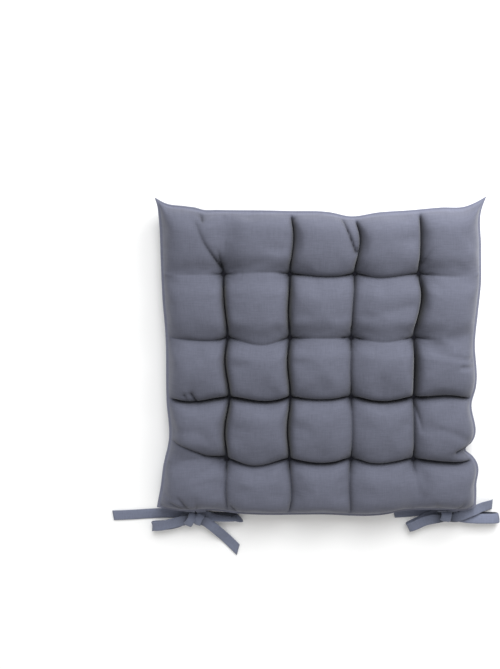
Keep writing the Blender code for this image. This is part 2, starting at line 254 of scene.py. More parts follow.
# ---------------------------------------------------------------- heights that the cloth starts from
TUFT_DEPTH = 0.005  # seam plane to the cover at a tuft
LIP_HALF = 0.0015  # seam plane to the lip's outer face
FLANK_RUN = 0.024  # width of the rounded flank inside the lip
CREASE_LOW = 0.008  # height of the strongest crease above the seam plane, between two tufts
WEAK_CREASE_SINK = 0.001  # how far below the crown the faintest crease lies
SHOULDER = 0.0395  # width of a cell's rounded shoulder beside a crease
UPRIGHT_SHOULDER_POWER = 3.0  # how flat a cell's top is across, 2 being round
LEVEL_SHOULDER_POWER = 2.2  # the same from the far side to the tie side
CORNER_POWER = 2.1  # how square the cells look from above
VALLEY_NARROWING = 1.4  # how much narrower a soft valley is than a cell's rounded shoulder
FULL_SLIT = 0.9  # creases drawn in this much are slits all the way
TUFT_LINES_HELD = 1.2  # net lines around a tuft that its thread holds
LIP_EDGE_SHARE = 0.6  # height of the lip's very edge, against the lip's own


def flank_rise(lines, shape):
    inside = shape.half_side - shape.lip_width - np.abs(flat_place(lines, shape))
    inside = np.clip(inside / FLANK_RUN, 0, 1)
    return np.sqrt(1 - (1 - inside) ** 2)


def crease_lines(creases, crown, strength):
    """Height along each crease line of one direction, and where it is held."""
    lines = np.arange(-EDGE_LINE, EDGE_LINE + 1)
    stops = [LIP_LINE, *TUFT_LINES, -LIP_LINE]
    from_tuft = np.min([np.abs(lines - tuft) for tuft in TUFT_LINES], axis=0) / CELLS_PER_PITCH
    open_share = np.sin(math.pi * np.minimum(from_tuft, 0.5))
    heights, sharpness, held = [], [], []
    for segments in creases:
        drawn = np.zeros(len(lines))
        for start, end, (pull, _, _) in zip(stops, stops[1:], segments):
            drawn[(lines <= start) & (lines >= end)] = pull * strength
        middle = CREASE_LOW + (crown - WEAK_CREASE_SINK - CREASE_LOW) * (1 - drawn)
        heights.append(TUFT_DEPTH + (middle - TUFT_DEPTH) * open_share)
        sharpness.append(smooth_step(drawn, SLIT_START, FULL_SLIT))
        held.append(drawn >= WEAKEST_HELD_CREASE)
    return np.array(heights), np.array(sharpness), np.array(held)


def start_panel(shape, crown, strength):
    """Heights above the seam plane, and where the panel is held, for one panel."""
    across, up = net_grid()
    rise = flank_rise(across, shape) * flank_rise(up, shape)
    held = np.zeros(across.shape)
    sinks = []
    directions = (
        (across, up, UPRIGHT_CREASES, UPRIGHT_SHOULDER_POWER),
        (up, across, turned_creases(), LEVEL_SHOULDER_POWER),
    )
    for run, along, creases, power in directions:
        heights, sharpness, holds = crease_lines(creases, crown, strength)
        columns = np.array(list(reversed(TUFT_LINES)))
        nearest = np.argmin(np.abs(run[..., None] - columns), axis=-1)
        distance = np.abs(flat_place(run, shape) - flat_place(columns, shape)[nearest])
        low = heights[nearest, along + EDGE_LINE]
        shoulder = np.clip(distance / SHOULDER, 0, 1)
        slit = 1 - (1 - (1 - shoulder) ** power) ** (1 / power)
        valley = 0.5 + 0.5 * np.cos(math.pi * np.minimum(shoulder * VALLEY_NARROWING, 1))
        sharp = sharpness[nearest, along + EDGE_LINE]
        sinks.append((crown - low) * (slit * sharp + valley * (1 - sharp)))
        held[(run == columns[nearest]) & holds[nearest, along + EDGE_LINE]] = 1.0
    sink = (sinks[0] ** CORNER_POWER + sinks[1] ** CORNER_POWER) ** (1 / CORNER_POWER)
    heights = np.maximum(crown - sink, TUFT_DEPTH)
    heights = LIP_HALF + (heights - LIP_HALF) * rise
    lip = np.maximum(np.abs(across), np.abs(up))
    heights = np.where(lip >= LIP_LINE, LIP_HALF, heights)
    heights[lip >= EDGE_LINE] = LIP_EDGE_SHARE * LIP_HALF
    held[lip >= LIP_LINE] = 1.0
    for line_x in TUFT_LINES:
        for line_y in TUFT_LINES:
            near = np.hypot(across - line_x, up - line_y) < TUFT_LINES_HELD
            heights[near] = TUFT_DEPTH
            held[near] = 1.0
    return heights, held


# ---------------------------------------------------------------- swelling
settled = {}  # the settled net of each panel
folded = {}  # the fine net of each panel's outer face, kept for the pieces that are made from it
painted_crease_shade = {}  # painted shade for the creases of those nets, from 0 to 1: how far their colour is darkened to stand in for a crease's shade
BOTTOM_PULL = 0.6  # how strongly creases are drawn in underneath, against the top
TOP_CROWN = 0.026  # seam plane to the highest cloth of the panel before it swells
BOTTOM_CROWN = 0.021
LEVELLING_ROUNDS = 5
LEVELLING_SHARE = 0.6


def link(piece):
    bpy.context.scene.collection.objects.link(piece)
    return piece


def add_piece(name, bm, finish):
    mesh = bpy.data.meshes.new(name)
    bm.to_mesh(mesh)
    bm.free()
    mesh.shade_smooth()
    mesh.materials.append(finish)
    return link(bpy.data.objects.new(name, mesh))


def read_points(mesh):
    points = np.empty(len(mesh.vertices) * 3)
    mesh.vertices.foreach_get("co", points)
    return points.reshape(-1, 3)


def write_points(mesh, points):
    mesh.vertices.foreach_set("co", np.ascontiguousarray(points, dtype=float).ravel())
    mesh.update()


def swell(start, held, side, shape):
    """Let the filling push one panel outwards until its cloth is taut, and return its net."""
    bm = bmesh.new()
    bmesh.ops.create_grid(bm, x_segments=2 * EDGE_LINE, y_segments=2 * EDGE_LINE, size=EDGE_LINE)
    if side < 0:
        bmesh.ops.reverse_faces(bm, faces=bm.faces[:])
    mesh = bpy.data.meshes.new("swelling_panel")
    bm.to_mesh(mesh)
    bm.free()
    lines = np.rint(read_points(mesh)[:, :2]).astype(int) + EDGE_LINE
    write_points(mesh, start[lines[:, 0], lines[:, 1]])
    piece = link(bpy.data.objects.new("swelling_panel", mesh))
    group = piece.vertex_groups.new(name="held")
    weights = held[lines[:, 0], lines[:, 1]]
    group.add([int(index) for index in np.nonzero(weights > 0)[0]], 1.0, "REPLACE")
    cloth = piece.modifiers.new("Swell", "CLOTH")
    physics = cloth.settings
    physics.quality = 6
    physics.mass = 0.15
    physics.tension_stiffness = 25
    physics.compression_stiffness = 25
    physics.shear_stiffness = 8
    physics.bending_stiffness = 0.6
    physics.air_damping = 4
    physics.effector_weights.gravity = 0
    physics.use_pressure = True
    physics.uniform_pressure_force = shape.pressure
    physics.vertex_group_mass = "held"
    physics.pin_stiffness = 1.0
    physics.shrink_min = -shape.excess
    cloth.collision_settings.use_self_collision = False
    cloth.point_cache.frame_start = 1
    cloth.point_cache.frame_end = shape.settle_steps
    for step in range(1, shape.settle_steps + 1):
        bpy.context.scene.frame_set(step)
    shown = piece.evaluated_get(bpy.context.evaluated_depsgraph_get())
    net = np.empty(start.shape)
    net[lines[:, 0], lines[:, 1]] = read_points(shown.data)
    bpy.context.scene.frame_set(1)
    bpy.data.objects.remove(piece)
    bpy.data.meshes.remove(mesh)
    return net


def level_out(net, held, rounds):
    """Smooth away crumples of the settled net, except where it is held."""
    free = (1 - held)[..., None]
    for _ in range(rounds):
        net = net + (blur(net, 1) - net) * free * LEVELLING_SHARE
    return net


def settle_panels(shape):
    x, y = net_places(shape)
    panels = (("top", 1, TOP_CROWN, 1.0), ("bottom", -1, BOTTOM_CROWN, BOTTOM_PULL))
    for name, side, crown, strength in panels:
        heights, held = start_panel(shape, crown, strength)
        start = np.stack([x, y, SEAM_HEIGHT + side * heights], axis=-1)
        net = swell(start, held, side, shape)
        settled[name] = level_out(net, held, LEVELLING_ROUNDS)


# ---------------------------------------------------------------- folds in the settled cloth
# Folds that run off the net's lines: depth share at each end, half width in millimetres, whether
# it is a sharp crease, and the route seen from above, in millimetres.
LOOSE_FOLDS = (
    (0.20, 0.85, 3.5, True, ((-159, 186), (-149, 162), (-135, 140), (-127, 128))),
    (0.20, 1.10, 3.6, True, ((-131, 150), (-129, 138), (-125, 123))),
    (0.90, 0.45, 3.2, True, ((-154, 202), (-151, 189))),
    (0.35, 0.20, 3.0, True, ((-36, 192), (-39, 176))),
    (0.60, 0.80, 2.8, True, ((23, 195), (30, 178), (37, 160), (41, 150))),
    (0.15, 0.70, 3.0, True, ((132, 149), (126, 136), (121, 125))),
    (0.12, 0.20, 5.0, False, ((101, 199), (109, 180), (112, 162))),
    (1.00, 0.10, 3.0, True, ((119, -38), (123, -52), (130, -79))),
    (0.10, 0.40, 4.5, False, ((130, 27), (149, 20), (172, 17), (190, 13))),
    (0.45, 0.35, 3.5, False, ((178, 4), (193, 3))),
    (0.20, 0.45, 6.0, False, ((155, -77), (174, -83), (188, -92))),
    (0.60, 0.90, 3.0, True, ((175, -108), (185, -104), (194, -106))),
    (0.55, 0.70, 3.0, True, ((-167, -31), (-161, -41))),
    (0.45, 0.20, 3.0, True, ((-176, -33), (-172, -41))),
    (0.45, 0.95, 3.8, True, ((-192, -95), (-172, -103), (-150, -114), (-125, -119))),
    (0.30, 0.15, 6.0, False, ((-190, -81), (-160, -78), (-140, -97))),
    (0.60, 0.10, 6.0, False, ((-126, -124), (-157, -138), (-189, -144))),
    (0.40, 0.20, 4.0, False, ((-205, -166), (-187, -172))),
    (0.30, 0.90, 3.0, True, ((-196, -176), (-183, -184), (-171, -194))),
    (0.25, 0.80, 3.0, True, ((-184, -168), (-176, -181), (-168, -193))),
    (0.20, 0.70, 3.0, True, ((-160, -178), (-165, -194))),
    (0.30, 1.00, 3.5, True, ((-117, -181), (-112, -189), (-110, -197))),
    (0.15, 0.60, 4.0, True, ((150, -176), (162, -193))),
    (0.15, 0.60, 4.0, True, ((188, -174), (178, -191))),
)


REFINE_SLACK = 0.0001  # how far a new line may lie beyond its two neighbours


def refine(net):
    """The net with a new line midway between every two, on a smooth curve."""
    for axis in (0, 1):
        net = np.moveaxis(net, axis, 0)
        padded = np.concatenate([2 * net[:1] - net[1:2], net, 2 * net[-1:] - net[-2:-1]])
        middle = (9 * (padded[1:-2] + padded[2:-1]) - padded[:-3] - padded[3:]) / 16
        lowest = np.minimum(net[:-1], net[1:]) - REFINE_SLACK
        middle = np.clip(middle, lowest, np.maximum(net[:-1], net[1:]) + REFINE_SLACK)
        fine = np.empty((2 * len(net) - 1, *net.shape[1:]))
        fine[0::2] = net
        fine[1::2] = middle
        net = np.moveaxis(fine, 0, axis)
    return net


def net_normals(net, side):
    """Outward direction at each point of a net."""
    along = np.gradient(net, axis=0)
    up = np.gradient(net, axis=1)
    normals = np.cross(along, up) * side
    return normals / np.maximum(np.linalg.norm(normals, axis=-1, keepdims=True), 1e-12)


def blur(values, rounds):
    """Level values out over the net, a little more each round."""
    for _ in range(rounds):
        padded = np.pad(values, ((1, 1), (1, 1), (0, 0)), mode="edge")
        values = (padded[:-2, 1:-1] + padded[2:, 1:-1] + padded[1:-1, :-2] + padded[1:-1, 2:]) / 4
    return values


def nearest_on_route(places, route, depths):
    """Offset to the nearest point of a route, and the depth share there, for every place."""
    best = np.full(places.shape[:2], np.inf)
    offset = np.zeros(places.shape)
    share = np.zeros(places.shape[:2])
    for start, end, depth_start, depth_end in zip(route, route[1:], depths, depths[1:]):
        run = end - start
        t = np.clip(((places - start) @ run) / max(run @ run, 1e-12), 0, 1)
        away = start + t[..., None] * run - places
        distance = np.hypot(away[..., 0], away[..., 1])
        closer = distance < best
        best = np.where(closer, distance, best)
        offset = np.where(closer[..., None], away, offset)
        share = np.where(closer, depth_start + (depth_end - depth_start) * t, share)
    return best, offset, share


SLIT_HALF_WIDTH = 0.0030
PIT_HALF_WIDTH = 0.0048
PIT_DEPTH = 1.5  # depth share at a tuft
PIT_RUN_OUT = 0.8  # share of a full slit that a crease gains next to a tuft
PIT_RUN_OUT_LINES = 4.0  # net lines over which it loses that again
OUTER_SLIT = 0.85  # depth of a crease between the outer tufts and the lip, against its own
LIP_SLIT = 0.2  # the same at the lip itself
ROUTE_MARKS = 10  # points on the route of one crease
CREASE_SHADE = 1.35  # how much wider the painted shade in a crease is than its bottom


def crease_routes(net, strength):
    """Every crease between two tufts, or a tuft and the lip, as the settled cloth has it."""
    routes = []
    stops = [LIP_LINE, *TUFT_LINES, -LIP_LINE]
    for turned, creases in ((False, UPRIGHT_CREASES), (True, turned_creases())):
        for line, segments in zip(reversed(TUFT_LINES), creases):
            for start, end, (drawn, _, _) in zip(stops, stops[1:], segments):
                marks = np.linspace(start, end, ROUTE_MARKS).round().astype(int)
                if turned:
                    route = net[2 * (marks + EDGE_LINE), 2 * (line + EDGE_LINE), :2]
                else:
                    route = net[2 * (line + EDGE_LINE), 2 * (marks + EDGE_LINE), :2]
                slit = max(0.0, (drawn * strength - SLIT_START) / (1 - SLIT_START))
                slit *= 1.0 if turned else UPRIGHT_SLIT
                depths = np.full(len(marks), slit)
                from_tuft = np.min([np.abs(marks - tuft) for tuft in TUFT_LINES], axis=0)
                run_out = PIT_RUN_OUT * np.exp(-((from_tuft / PIT_RUN_OUT_LINES) ** 2))
                depths = depths + (1 - depths) * run_out
                depths[np.abs(marks) > TUFT_LINE + PIT_RUN_OUT_LINES] *= OUTER_SLIT
                depths[np.abs(marks) >= LIP_LINE - 2] *= LIP_SLIT
                routes.append((depths, SLIT_HALF_WIDTH, True, route))
    for across in TUFT_LINES:
        for up in TUFT_LINES:
            place = net[2 * (across + EDGE_LINE), 2 * (up + EDGE_LINE), :2]
            depths = np.full(2, PIT_DEPTH * strength)
            routes.append((depths, PIT_HALF_WIDTH, True, np.array([place, place])))
    return routes


def loose_fold_routes():
    routes = []
    for depth_start, depth_end, half_width, sharp, points in LOOSE_FOLDS:
        route = np.array(points, float) / 1000
        depths = np.linspace(depth_start, depth_end, len(points))
        routes.append((depths, half_width / 1000, sharp, route))
    return routes


FLANK_PULL = 0.55  # share of the way to a crease's bottom that its flanks are drawn in
FLANK_PULL_REACH = 1.6  # half widths of the crease over which they are
SOFT_FOLD_DEPTH = 0.6  # depth of a soft fold, against a sharp one of the same share
OUTWARD_BLUR = 60  # rounds that level out the direction in which creases sink


def fold(net, routes, side, shape):
    """Sink the creases and folds into a settled panel, and draw their flanks together."""
    places = net[..., :2]
    sunk = np.zeros(places.shape[:2])
    drawn = np.zeros(places.shape)
    soft = np.zeros(places.shape[:2])
    for depths, half_width, sharp, route in routes:
        distance, offset, share = nearest_on_route(places, route, depths)
        if not sharp:
            soft += share * np.exp(-((distance / half_width) ** 2))
            continue
        drop = share * np.exp(-distance / half_width)
        deeper = drop > sunk
        pull = FLANK_PULL * np.exp(-distance / (FLANK_PULL_REACH * half_width))
        pull *= np.minimum(1.5 * share, 1)
        drawn = np.where(deeper[..., None], offset * pull[..., None], drawn)
        sunk = np.maximum(sunk, drop)
    lines = np.abs(np.linspace(-EDGE_LINE, EDGE_LINE, len(net)))
    inside = 1 - smooth_step(np.maximum(lines[:, None], lines[None, :]), LIP_LINE - 2, LIP_LINE)
    outward = blur(net_normals(net, side), OUTWARD_BLUR)
    outward[..., 2] += side
    outward /= np.linalg.norm(outward, axis=-1, keepdims=True)
    depth = (sunk + SOFT_FOLD_DEPTH * soft) * inside * shape.slit_depth
    moved = net - outward * depth[..., None]
    moved[..., :2] += drawn * inside[..., None]
    # the second value is painted shade: how much the colour darkens in each crease, a little wider
    # than its sunk bottom
    return moved, np.clip(CREASE_SHADE * sunk, 0, 1) * inside


TUFT_CLEARANCE = 0.0008  # least distance from the seam plane to a panel's outer face


def shape_panel(name, side, strength, shape):
    """Fine net of one panel's outer face."""
    net = refine(settled[name])
    routes = crease_routes(net, strength)
    if side > 0:
        routes += loose_fold_routes()
    net, painted_crease_shade[name] = fold(net, routes, side, shape)
    height = np.maximum(side * (net[..., 2] - SEAM_HEIGHT), TUFT_CLEARANCE)
    net[..., 2] = np.maximum(SEAM_HEIGHT + side * height, 0.0)
    return net


# ---------------------------------------------------------------- pieces made from the net
CLOTH_MAP_MARGIN = 1.1  # middle of the cloth to the map's corner, in half sides


def vertices_in(items):
    return [item for item in items if isinstance(item, bmesh.types.BMVert)]


def thicken(bm):
    """Turn a flat net into a closed slab one unit thick, whose faces point out."""
    grown = bmesh.ops.extrude_face_region(bm, geom=bm.faces[:])["geom"]
    bmesh.ops.translate(bm, verts=vertices_in(grown), vec=(0, 0, 1))
    bmesh.ops.recalc_face_normals(bm, faces=bm.faces[:])


def fine_index(lines):
    """Where points with these line numbers are in a fine net."""
    index = np.rint(2 * (lines[:, :2] + EDGE_LINE)).astype(int)
    return index[:, 0], index[:, 1]


def write_values(mesh, name, values):
    mesh.attributes.new(name, "FLOAT", "POINT").data.foreach_set("value", values)


def write_cloth_map(mesh, lines, shape):
    """UV map of the flat cloth, in metres."""
    corners = np.empty(len(mesh.loops), int)
    mesh.loops.foreach_get("vertex_index", corners)
    flat = flat_place(lines[:, :2], shape) + CLOTH_MAP_MARGIN * shape.half_side
    layer = mesh.uv_layers.new(name="cloth")
    layer.data.foreach_set("uv", flat[corners].ravel())


def cloth_shell(name, outer, depth, side, finish, shape):
    """One panel as a closed layer of cloth: a fine outer face and a plainer inner one."""
    bm = bmesh.new()
    bmesh.ops.create_grid(bm, x_segments=2 * EDGE_LINE, y_segments=2 * EDGE_LINE, size=EDGE_LINE)
    thicken(bm)
    for edge in bm.edges:  # the shading turns sharply where the outer face meets the cut edge
        reaches = [max(abs(vert.co.x), abs(vert.co.y)) for vert in edge.verts]
        edge.smooth = max(reaches) < EDGE_LINE - 0.5
    upper = [edge for edge in bm.edges if min(vert.co.z for vert in edge.verts) > 0.5]
    bmesh.ops.subdivide_edges(bm, edges=upper, cuts=1, use_grid_fill=True)
    if side < 0:
        bmesh.ops.reverse_faces(bm, faces=bm.faces[:])
    piece = add_piece(name, bm, finish)
    lines = read_points(piece.data)
    index = fine_index(lines)
    inner = outer - blur(net_normals(outer, side), 2) * shape.cloth_thickness
    on_outside = lines[:, 2] > 0.5
    write_points(piece.data, np.where(on_outside[:, None], outer[index], inner[index]))
    write_cloth_map(piece.data, lines, shape)
    from_middle = np.max(np.abs(lines[:, :2]), axis=1)
    # painted shade for the creases, carried into the cloth's colour
    write_values(piece.data, "crease", depth[index])
    # the lip is painted paler: partly wear where it rubs, partly a painted highlight along the rim
    write_values(piece.data, "rim_wear_and_highlight", smooth_step(from_middle, LIP_LINE - 1, LIP_LINE))
    return piece


def closed_body(name, cells, finish, step=1, ring=None):
    """A flat slab on the net's lines, whose faces point out, and the line numbers of its points."""
    bm = bmesh.new()
    bmesh.ops.create_grid(bm, x_segments=cells // step, y_segments=cells // step, size=cells / 2)
    if ring is not None:
        spare = [face for face in bm.faces if max(map(abs, face.calc_center_median())) < ring]
        bmesh.ops.delete(bm, geom=spare, context="FACES")
    thicken(bm)
    piece = add_piece(name, bm, finish)
    return piece, read_points(piece.data)


FILLING_CLEAR_LINES = 2  # fine net lines around a point that the filling stays below
FILLING_LEAST = 0.0003  # seam plane to the filling where it is drawn thinnest
FILLING_GAP = 0.0016  # outer face of the cover to the filling


def inner_net(outer, side, depth):
    """A net a little inside a panel's outer face, which never comes through it."""
    inside = outer - blur(net_normals(outer, side), 2) * depth
    height = side * (inside[..., 2] - SEAM_HEIGHT)
    reach = FILLING_CLEAR_LINES
    lowest = height.copy()
    for across in range(-reach, reach + 1):
        for up in range(-reach, reach + 1):
            lowest = np.minimum(lowest, np.roll(height, (across, up), (0, 1)))
    inside[..., 2] = SEAM_HEIGHT + side * np.maximum(lowest, FILLING_LEAST)
    return inside


def make_filling(top, bottom, finish):
    """The loose fibre: it follows both panels from inside."""
    piece, lines = closed_body("fibre_filling", 2 * (LIP_LINE - 1), finish, step=2)
    index = fine_index(lines)
    above = inner_net(top, 1, FILLING_GAP)[index]
    below = inner_net(bottom, -1, FILLING_GAP)[index]
    write_points(piece.data, np.where(lines[:, 2:] > 0.5, above, below))
    return piece


SEAM_ROOM = 0.00045  # half the thickness of the turned-in edges
SEAM_SETBACK = 0.0012  # edge of the cover to the turned-in edges inside it


def make_seam_allowance(top, bottom, finish, shape):
    """The turned-in edges of both panels, a flat ring inside the lip."""
    piece, lines = closed_body("turned_in_edges", 2 * EDGE_LINE, finish, ring=LIP_LINE - 1)
    index = fine_index(lines)
    middle = (top + bottom) / 2
    points = middle[index]
    points[:, :2] *= 1 - SEAM_SETBACK / shape.half_side
    points[:, 2] = SEAM_HEIGHT + np.where(lines[:, 2] > 0.5, SEAM_ROOM, -SEAM_ROOM)
    write_points(piece.data, points)
    write_cloth_map(piece.data, lines, shape)
    return piece


# ---------------------------------------------------------------- tufting threads
THREAD_RADIUS = 0.0006
TACK_STRANDS = 5
TACK_STRAND_GAP = 0.0010
TACK_REACH = 0.0024  # middle of a tack to where its strands dive into the cloth
TACK_SINK = 0.0019  # how far the middle of a tack's arch lies inside the cover
TACK_FLATNESS = 0.8  # height of a tack's arch as a share of its reach
TACK_TURN_STEP = math.radians(18)


def add_strands(bm):
    """The small sewn tack at one end of a thread: strands that dive into the cloth."""
    strands = []
    for strand in range(TACK_STRANDS):
        aside = (strand - (TACK_STRANDS - 1) / 2) * TACK_STRAND_GAP
        ring = bmesh.ops.create_circle(bm, segments=8, radius=THREAD_RADIUS)["verts"]
        bmesh.ops.translate(bm, verts=ring, vec=(TACK_REACH, 0, 0))
        edges = list({edge for vert in ring for edge in vert.link_edges})
        swept = bmesh.ops.spin(
            bm, geom=ring + edges, cent=(0, 0, 0), axis=(0, -1, 0), angle=math.pi, steps=8
        )
        ends = vertices_in(swept["geom_last"])
        verts = set(ring)
        while True:
            grown = {other for vert in verts for edge in vert.link_edges for other in edge.verts}
            if grown == verts:
                break
            verts = grown
        for rim in (ring, ends):
            bmesh.ops.contextual_create(bm, geom=rim)
        bmesh.ops.translate(bm, verts=list(verts), vec=(0, aside, 0))
        strands += list(verts)
    return strands


def make_tuft(row, column, top_height, bottom_height, finish):
    """One tufting thread: a tack above, a tack below, and the thread between them."""
    place = TUFT_PLACES[f"tuft_thread_{row}{column}"]
    bm = bmesh.new()
    upper = add_strands(bm)
    bmesh.ops.scale(bm, verts=upper, vec=(1, 1, TACK_FLATNESS))
    bmesh.ops.translate(bm, verts=upper, vec=(0, 0, top_height - TACK_SINK))
    lower = add_strands(bm)
    bmesh.ops.rotate(bm, verts=lower, cent=(0, 0, 0), matrix=Matrix.Rotation(math.pi, 3, "X"))
    bmesh.ops.scale(bm, verts=lower, vec=(1, 1, TACK_FLATNESS))
    bmesh.ops.translate(bm, verts=lower, vec=(0, 0, bottom_height + TACK_SINK))
    shaft = bmesh.ops.create_cone(
        bm,
        cap_ends=True,
        segments=8,
        radius1=THREAD_RADIUS,
        radius2=THREAD_RADIUS,
        depth=top_height - bottom_height,
    )["verts"]
    bmesh.ops.translate(bm, verts=shaft, vec=(0, 0, (top_height + bottom_height) / 2))
    turn = TACK_TURN_STEP * ((row * 3 + column * 5) % 7 - 3)  # no two neighbours lie alike
    bmesh.ops.rotate(bm, verts=bm.verts[:], cent=(0, 0, 0), matrix=Matrix.Rotation(turn, 3, "Z"))
    bmesh.ops.translate(bm, verts=bm.verts[:], vec=(place.x, place.y, 0))
    bmesh.ops.recalc_face_normals(bm, faces=bm.faces[:])
    return add_piece(f"tufting_thread_{row}{column}", bm, finish)


# ---------------------------------------------------------------- tie routes
# Each tie leaves the seam, makes one loop, passes back through the bow and ends in a tail.
LEFT_OUTER_ROUTE = (
    (-0.1713, -0.1918, 0.0220),
    (-0.1713, -0.1940, 0.0205),
    (-0.1717, -0.1967, 0.0125),
    (-0.1733, -0.2010, 0.0085),
    (-0.1773, -0.2070, 0.0065),
    (-0.1863, -0.2140, 0.0050),
    (-0.1983, -0.2180, 0.0040),
    (-0.2113, -0.2195, 0.0035),
    (-0.2198, -0.2195, 0.0045),
    (-0.2226, -0.2190, 0.0080),
    (-0.2188, -0.2180, 0.0115),
    (-0.2093, -0.2165, 0.0130),
    (-0.1963, -0.2130, 0.0137),
    (-0.1813, -0.2095, 0.0142),
    (-0.1653, -0.2077, 0.0147),
    (-0.1523, -0.2100, 0.0146),
    (-0.1458, -0.2145, 0.0138),
    (-0.1403, -0.2195, 0.0125),
    (-0.1323, -0.2285, 0.0075),
    (-0.1243, -0.2375, 0.0025),
    (-0.1163, -0.2460, 0.0012),
    (-0.1078, -0.2548, 0.0012),
)
LEFT_INNER_ROUTE = (
    (-0.1571, -0.1926, 0.0220),
    (-0.1571, -0.1943, 0.0205),
    (-0.1569, -0.1963, 0.0125),
    (-0.1548, -0.2010, 0.0095),
    (-0.1483, -0.2050, 0.0095),
    (-0.1383, -0.2068, 0.0100),
    (-0.1233, -0.2077, 0.0105),
    (-0.1103, -0.2077, 0.0097),
    (-0.1050, -0.2077, 0.0062),
    (-0.1103, -0.2080, 0.0024),
    (-0.1233, -0.2083, 0.0014),
    (-0.1413, -0.2080, 0.0012),
    (-0.1573, -0.2060, 0.0012),
    (-0.1733, -0.2038, 0.0012),
    (-0.1913, -0.2030, 0.0012),
    (-0.2163, -0.2033, 0.0012),
    (-0.2463, -0.2050, 0.0012),
    (-0.2762, -0.2062, 0.0012),
)
RIGHT_INNER_ROUTE = (
    (0.1628, -0.1925, 0.0220),
    (0.1628, -0.1942, 0.0205),
    (0.1624, -0.1958, 0.0125),
    (0.1593, -0.2000, 0.0085),
    (0.1513, -0.2047, 0.0065),
    (0.1403, -0.2107, 0.0060),
    (0.1293, -0.2164, 0.0055),
    (0.1228, -0.2195, 0.0062),
    (0.1204, -0.2205, 0.0088),
    (0.1228, -0.2192, 0.0117),
    (0.1303, -0.2157, 0.0130),
    (0.1413, -0.2102, 0.0138),
    (0.1543, -0.2070, 0.0143),
    (0.1695, -0.2059, 0.0148),
    (0.1843, -0.2040, 0.0150),
    (0.1973, -0.1987, 0.0150),
    (0.2083, -0.1947, 0.0135),
    (0.2198, -0.1922, 0.0075),
    (0.2339, -0.1907, 0.0014),
)
RIGHT_OUTER_ROUTE = (
    (0.1770, -0.1928, 0.0220),
    (0.1770, -0.1943, 0.0205),
    (0.1772, -0.1956, 0.0125),
    (0.1803, -0.2012, 0.0095),
    (0.1903, -0.2057, 0.0095),
    (0.2063, -0.2074, 0.0102),
    (0.2243, -0.2077, 0.0105),
    (0.2368, -0.2077, 0.0097),
    (0.2423, -0.2077, 0.0062),
    (0.2368, -0.2078, 0.0024),
    (0.2243, -0.2079, 0.0014),
    (0.2043, -0.2072, 0.0012),
    (0.1863, -0.2042, 0.0012),
    (0.1703, -0.2012, 0.0012),
    (0.1543, -0.1994, 0.0012),
    (0.1373, -0.2000, 0.0012),
    (0.1193, -0.2017, 0.0012),
    (0.1022, -0.2030, 0.0012),
)

TIE_WIDTH = 0.0135
TIE_THICKNESS = 0.0014
TIE_STEP = 0.0025  # distance between cross-sections along a tie
TIE_SECTION_POINTS = 16
TIE_CUP = 0.0009  # how far a strap's middle may bow out of its flat
TIE_FLAT_END = 0.012  # stretch at each end over which it lies flatter
GATHER_REACH = 0.009  # how near to its knot a strap is gathered
GATHERED_NARROWING = 0.38
GATHERED_THICKENING = 0.7
SHADE_REACH = 0.0145  # how near to its knot a strap is painted with the bow's shade
LOOP_SHADE_RAMP = 0.02  # share of a strap's length over which the painted shade in a loop starts
SEAT_CLEARANCE = 0.0001  # least height of the ties and knots above the seat
FLAT_BELOW = 0.002  # straps whose middle lies lower than this lie flat on the seat
STEEP = 0.35  # level length of a strap's direction below which it counts as upright
CUT_START = 0.93  # share of a strap's length past which its end slants
KNOT_SHADE = 0.95  # painted shade: how dark a strap is painted where its knot holds it and the bow shades it, 1 being a crease's bottom
LOOP_SHADE = 0.85  # the same painted shade inside a loop
NO_LOOP = (1.0, 1.0)
TIES = {
    # name: route, the middle of its knot, (share of its length, twist in degrees) on the way,
    # the stretch where its upper face is the inside of a loop, painted in shade, and the slant of
    # its cut end
    "tie_left_outer": (
        LEFT_OUTER_ROUTE,
        (-0.1655, -0.2085),
        ((0, 0), (0.35, 8), (0.7, -6), (1, 4)),
        NO_LOOP,
        0.6,
    ),
    "tie_left_inner": (
        LEFT_INNER_ROUTE,
        (-0.1655, -0.2065),
        ((0, 0), (0.09, -8), (0.14, -66), (0.25, -80), (0.30, -25), (0.35, 0), (0.6, 3), (1, -4)),
        (0.28, 0.50),
        0.1,
    ),
    "tie_right_inner": (
        RIGHT_INNER_ROUTE,
        (0.1690, -0.2035),
        ((0, 0), (0.3, 10), (0.7, -6), (1, 8)),
        NO_LOOP,
        -0.2,
    ),
    "tie_right_outer": (
        RIGHT_OUTER_ROUTE,
        (0.1690, -0.2035),
        ((0, 0), (0.12, -8), (0.2, -30), (0.32, -30), (0.38, -5), (0.7, 4), (1, -4)),
        (0.35, 0.55),
        0.1,
    ),
}


def smooth_route(points, step):
    """Points about one step apart on a smooth curve through the route's own points."""
    knots = [Vector(point) for point in points]
    knots = [2 * knots[0] - knots[1]] + knots + [2 * knots[-1] - knots[-2]]
    route = []
    for before, start, end, after in zip(knots, knots[1:], knots[2:], knots[3:]):
        pieces = max(1, round((end - start).length / step))
        for piece in range(pieces):
            t = piece / pieces
            route.append(
                0.5
                * (
                    2 * start
                    + (end - before) * t
                    + (2 * before - 5 * start + 4 * end - after) * t**2
                    + (3 * start - before - 3 * end + after) * t**3
                )
            )
    return route + [knots[-2]]


def level_directions(route):
    """Direction along the tie, and level direction across it, at each point of a route."""
    frames = []
    across = None
    for index, point in enumerate(route):
        behind = route[max(index - 1, 0)]
        ahead = route[min(index + 1, len(route) - 1)]
        along = (ahead - behind).normalized()
        level = Vector((0, 0, 1)).cross(along)
        if level.length < STEEP and across is not None:
            level = across - along * across.dot(along)
        level.normalize()
        if across is not None and level.dot(across) < 0:
            level.negate()
        across = level
        frames.append((point, along, across))
    return frames


def strip_layers(bm):
    """Layers for a strip's place across and along its cloth, and for the shade painted on it."""
    return [bm.verts.layers.float.new(name) for name in ("across", "along", "crease")]


